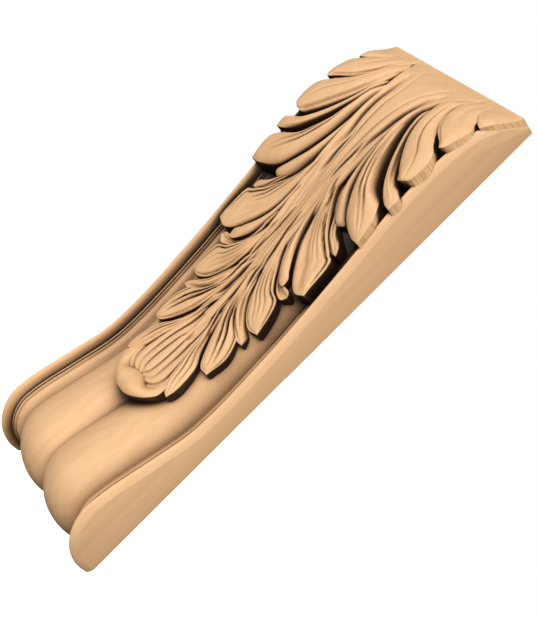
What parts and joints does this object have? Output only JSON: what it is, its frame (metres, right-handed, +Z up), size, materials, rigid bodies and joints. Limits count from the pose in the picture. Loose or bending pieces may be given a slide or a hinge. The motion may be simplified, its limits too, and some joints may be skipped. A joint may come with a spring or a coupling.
{
  "type": "acanthus bracket",
  "caption": "Carved wooden bracket with an S-shaped moulded front, an acanthus leaf, a rounded nose at its foot and a flat back for fixing to a wall, mantel or cabinet.",
  "frame": {"origin": "middle of the flat back face, where the bracket is fixed", "axes": "+Z up along the length, towards the flat top end; +Y out of the back, into the wall; the carving faces -Y; +X to the right of a viewer in front"},
  "size_m": [0.1044, 0.036, 0.3],
  "materials": {
    "carved_wood": "smooth pale wood, satin, darker in the hollows of the carving"
  },
  "bodies": {
    "root": {"acanthus_bracket": "carved_wood"}
  },
  "joints": []
}
